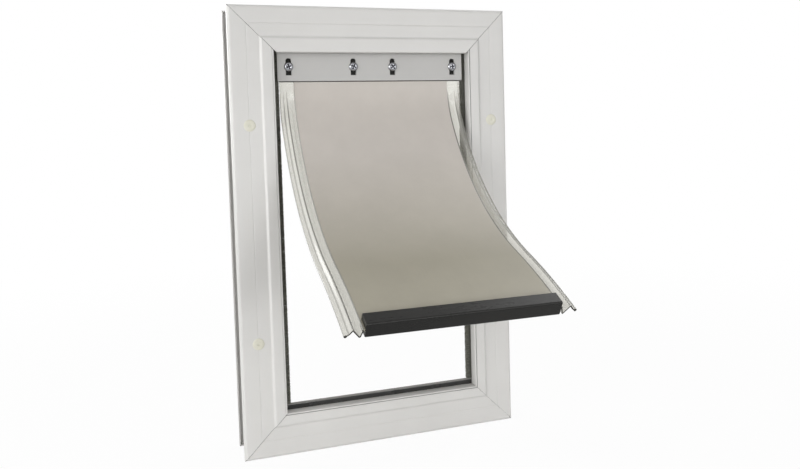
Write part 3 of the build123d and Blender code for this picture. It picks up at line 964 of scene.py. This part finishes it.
# Plugs: a low dome that drops as a power of the radius, with a round gate mark in its middle, on a shank
def holePlugs():
    low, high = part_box("hole_plugs")
    acrossX = high[0] - plug["headRadius"]
    acrossZ = high[2] - plug["headRadius"]
    seat = low[1] + plug["rise"]
    shares = np.concatenate([np.linspace(0, 0.3, 14), np.linspace(0.34, 1, 26)])
    angles = np.linspace(0, 2 * np.pi, plug["corners"], endpoint=False)
    radius, angle = np.meshgrid(plug["headRadius"] * shares, angles, indexing="ij")
    rim = plug["rimShare"] * plug["rise"] * (radius / plug["headRadius"]) ** plug["rimPower"]
    inDimple = smoothStep((plug["dimpleRadius"] - radius) / plug["dimpleSoft"] + 0.5)
    y = low[1] + rim + plug["dimpleDepth"] * inDimple
    dome = np.stack([radius * np.cos(angle), y, radius * np.sin(angle)], -1)
    ringRadii = np.array([plug["headRadius"], plug["shankRadius"], plug["shankRadius"], 0])
    body = ringRadii[:, None, None] * unitCircle(angles)[None]
    body[..., 1] = np.array([seat, seat, high[1], high[1]])[:, None]
    single = np.concatenate([dome, body])
    places = np.array([(sx * acrossX, 0, sz * acrossZ) for sx in (-1, 1) for sz in (-1, 1)])
    quads = ringQuads(len(single), plug["corners"])[:, ::-1]
    starts = np.arange(len(places)) * len(single) * plug["corners"]
    faces = (starts[:, None, None] + quads[None]).reshape(-1, 4)
    points, faces = weldPoints(single[None] + places[:, None, None, :], faces)[:2]
    piece = meshPiece("holePlugs", points, faces, [ivory], None, True, plug["sharpAngle"])
    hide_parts("hole_plugs")
    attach(piece, "frame")


holePlugs()
print("hole plugs made")

# Sealant bead in each mitre, just under the enamel; its points are millimetres in from the outer edge and out
# from the leaf
bead = {
    "width": 0.34 * mm,
    "half": 0.4 * mm,
    "edge": ((0.8, 1.0), (0.8, 4.6), (1.5, 5.8), (2.8, 6.2)),
    "front": ((36.2, 6.2), (38.6, 8.7), (51.8, 8.7)),
    "rearShort": 0.8,
    "rearFlange": 7.0 * mm,
}


# One bead: a narrow box section carried along the profile, in the plane that halves the corner
def cornerBead(path, base, out, sx, sz, corner):
    run = np.gradient(path, axis=0)
    side = np.column_stack([-run[:, 1], run[:, 0]]) / np.linalg.norm(run, axis=1)[:, None] * bead["half"]
    inner, outer = path - side, path + side
    across = np.array([sx, 0, -sz]) * bead["width"] / 2 / math.sqrt(2)
    rings = []
    for line, lean in ((inner, -1), (outer, -1), (outer, 1), (inner, 1)):
        inset, rise = line.T
        place = np.column_stack([sx * (corner[0] - inset), base + out * rise, sz * (corner[2] - inset)])
        rings.append(place + lean * across)
    points = np.stack(rings, axis=1).reshape(-1, 3)
    boxSides = len(rings)
    start = np.arange(boxSides)
    ends = np.array([start[::-1], len(points) - boxSides + start])
    faces = np.concatenate([ringQuads(len(path), boxSides), ends])
    return points, faces if sx * sz * out > 0 else faces[:, ::-1]


# Beads in the four corners of both frames
def mitreBeads():
    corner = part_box("front_right_stile")[1]
    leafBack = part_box("rear_top_rail")[1][1] - bead["rearFlange"]
    rearEnd = (corner[0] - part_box("rear_right_stile")[0][0]) / mm - bead["rearShort"]
    rear = ((rearEnd, bead["edge"][-1][1]),)
    profiles = ((bead["front"], 0.0, -1), (rear, leafBack, 1))
    allPoints, allFaces, start = [], [], 0
    for inner, base, out in profiles:
        path = np.array(bead["edge"] + inner) * mm
        for sx, sz in ((-1, -1), (-1, 1), (1, -1), (1, 1)):
            points, faces = cornerBead(path, base, out, sx, sz, corner)
            allPoints.append(points)
            allFaces.append(start + faces)
            start += len(points)
    points, faces = np.concatenate(allPoints), np.concatenate(allFaces)
    piece = meshPiece("mitreBeads", points, faces, [sealant], None, False)
    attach(piece, "frame")


mitreBeads()
print("mitre beads made")

# Stage: white floor and world that show white to the camera, with soft studio lamps.
# A lamp has a place, the point it faces, the disc's width in metres, its spread in degrees and watts.
stage = {
    "floorSize": 12.0,
    "floorGap": 0.5 * mm,
    "floorWhite": 0.86,
    "nearWhite": 0.95,
    "whiteFrom": 0.5,
    "whiteTo": 1.6,
    "ambient": 0.32,
    "lamps": (
        ("keyLamp", (-1.4, -3.2, 3.0), (0, 0, 0), 2.6, 180, 17),
        ("leftLamp", (-1.9, -1.5, 0.2), (0, 0, 0), 1.8, 180, 22),
        ("edgeLamp", (-2.3, -0.5, 0.3), (0, 0, 0), 1.4, 180, 18),
        ("lowLamp", (0.5, -2.4, 0.0), (0.1, 0, -0.45), 0.6, 40, 0.6),
        ("fillLamp", (2.4, -4.3, 0.4), (0, 0, 0), 3.2, 180, 60),
        ("topLamp", (2.2, 0.6, 2.5), (0, 0, 0), 1.6, 180, 22),
        ("backLamp", (-1.6, 3.8, 1.4), (0, 0, 0), 3.2, 180, 90),
    ),
}


# 1 for rays from the camera, from a mirror-like surface or through a clear one, 0 for soft light
def seenDirectly(tree):
    rays = addNode(tree, "ShaderNodeLightPath").outputs
    mirrored = maths(tree, "MAXIMUM", rays["Is Camera Ray"], rays["Is Glossy Ray"])
    return maths(tree, "MAXIMUM", mirrored, rays["Is Transmission Ray"])


# Floor: a matt white that glows when seen directly, a little less near the object so that a shade shows
def whiteFloor():
    edge = stage["floorSize"] / 2
    base = cadBox[0][2] - stage["floorGap"]
    corners = np.array([(-edge, -edge, base), (edge, -edge, base), (edge, edge, base), (-edge, edge, base)])
    material = bpy.data.materials.new("whiteFloor")
    material.use_nodes = True
    tree = material.node_tree
    tree.nodes.clear()
    output = addNode(tree, "ShaderNodeOutputMaterial")
    matt = addNode(tree, "ShaderNodeBsdfDiffuse", Color=(*[stage["floorWhite"]] * 3, 1))
    glow = addNode(tree, "ShaderNodeEmission", Color=(1, 1, 1, 1), Strength=1.0)
    mix = addNode(tree, "ShaderNodeMixShader")
    away = addNode(tree, "ShaderNodeVectorMath", operation="LENGTH")
    tree.links.new(addNode(tree, "ShaderNodeTexCoord").outputs["Object"], away.inputs[0])
    distance = away.outputs["Value"]
    white = smoothRange(tree, distance, stage["whiteFrom"], stage["whiteTo"], stage["nearWhite"], 1.0)
    tree.links.new(maths(tree, "MULTIPLY", seenDirectly(tree), white), mix.inputs[0])
    tree.links.new(matt.outputs[0], mix.inputs[1])
    tree.links.new(glow.outputs[0], mix.inputs[2])
    tree.links.new(mix.outputs[0], output.inputs[0])
    floor = meshPiece("floor", corners, np.array([[0, 1, 2, 3]]), [material], None, False)


# World: full white when seen directly, a weak white as light
def whiteWorld():
    world = bpy.data.worlds.new("studio")
    bpy.context.scene.world = world
    world.use_nodes = True
    tree = world.node_tree
    background = tree.nodes["Background"]
    background.inputs["Color"].default_value = (1, 1, 1, 1)
    strength = addNode(tree, "ShaderNodeMapRange")
    strength.inputs["To Min"].default_value = stage["ambient"]
    strength.inputs["To Max"].default_value = 1.0
    tree.links.new(seenDirectly(tree), strength.inputs["Value"])
    tree.links.new(strength.outputs["Result"], background.inputs["Strength"])


# A disc that faces its target
def softLamp(name, place, target, size, spread, power):
    light = bpy.data.lights.new(name, "AREA")
    light.shape = "DISK"
    light.size = size
    light.spread = math.radians(spread)
    light.energy = power
    lamp = bpy.data.objects.new(name, light)
    lamp.location = place
    lamp.rotation_euler = (Vector(target) - Vector(place)).to_track_quat("-Z", "Y").to_euler()
    lamp.visible_transmission = False   # keeps sparkle out of the clear pleats
    bpy.context.scene.collection.objects.link(lamp)


whiteFloor()
whiteWorld()
for lamp in stage["lamps"]:
    softLamp(*lamp)
print("stage lit")

# Camera, from a fit of the frame's corners in the 800 by 469 picture
view = {
    "place": (-0.27832, -0.91502, 0.11795),
    "turn": (86.614, 1.6735, -18.764),
    "lens": 34.464,
    "sensor": 36,
    "shiftY": -0.072,
}
cameraData = bpy.data.cameras.new("photoCamera")
cameraData.sensor_width = view["sensor"]
cameraData.sensor_fit = "HORIZONTAL"
cameraData.lens = view["lens"]
cameraData.shift_y = view["shiftY"]
camera = bpy.data.objects.new("photoCamera", cameraData)
camera.location = view["place"]
camera.rotation_euler = [math.radians(angle) for angle in view["turn"]]
bpy.context.scene.collection.objects.link(camera)
bpy.context.scene.camera = camera
bpy.context.scene.view_settings.view_transform = "Standard"
print("camera set")
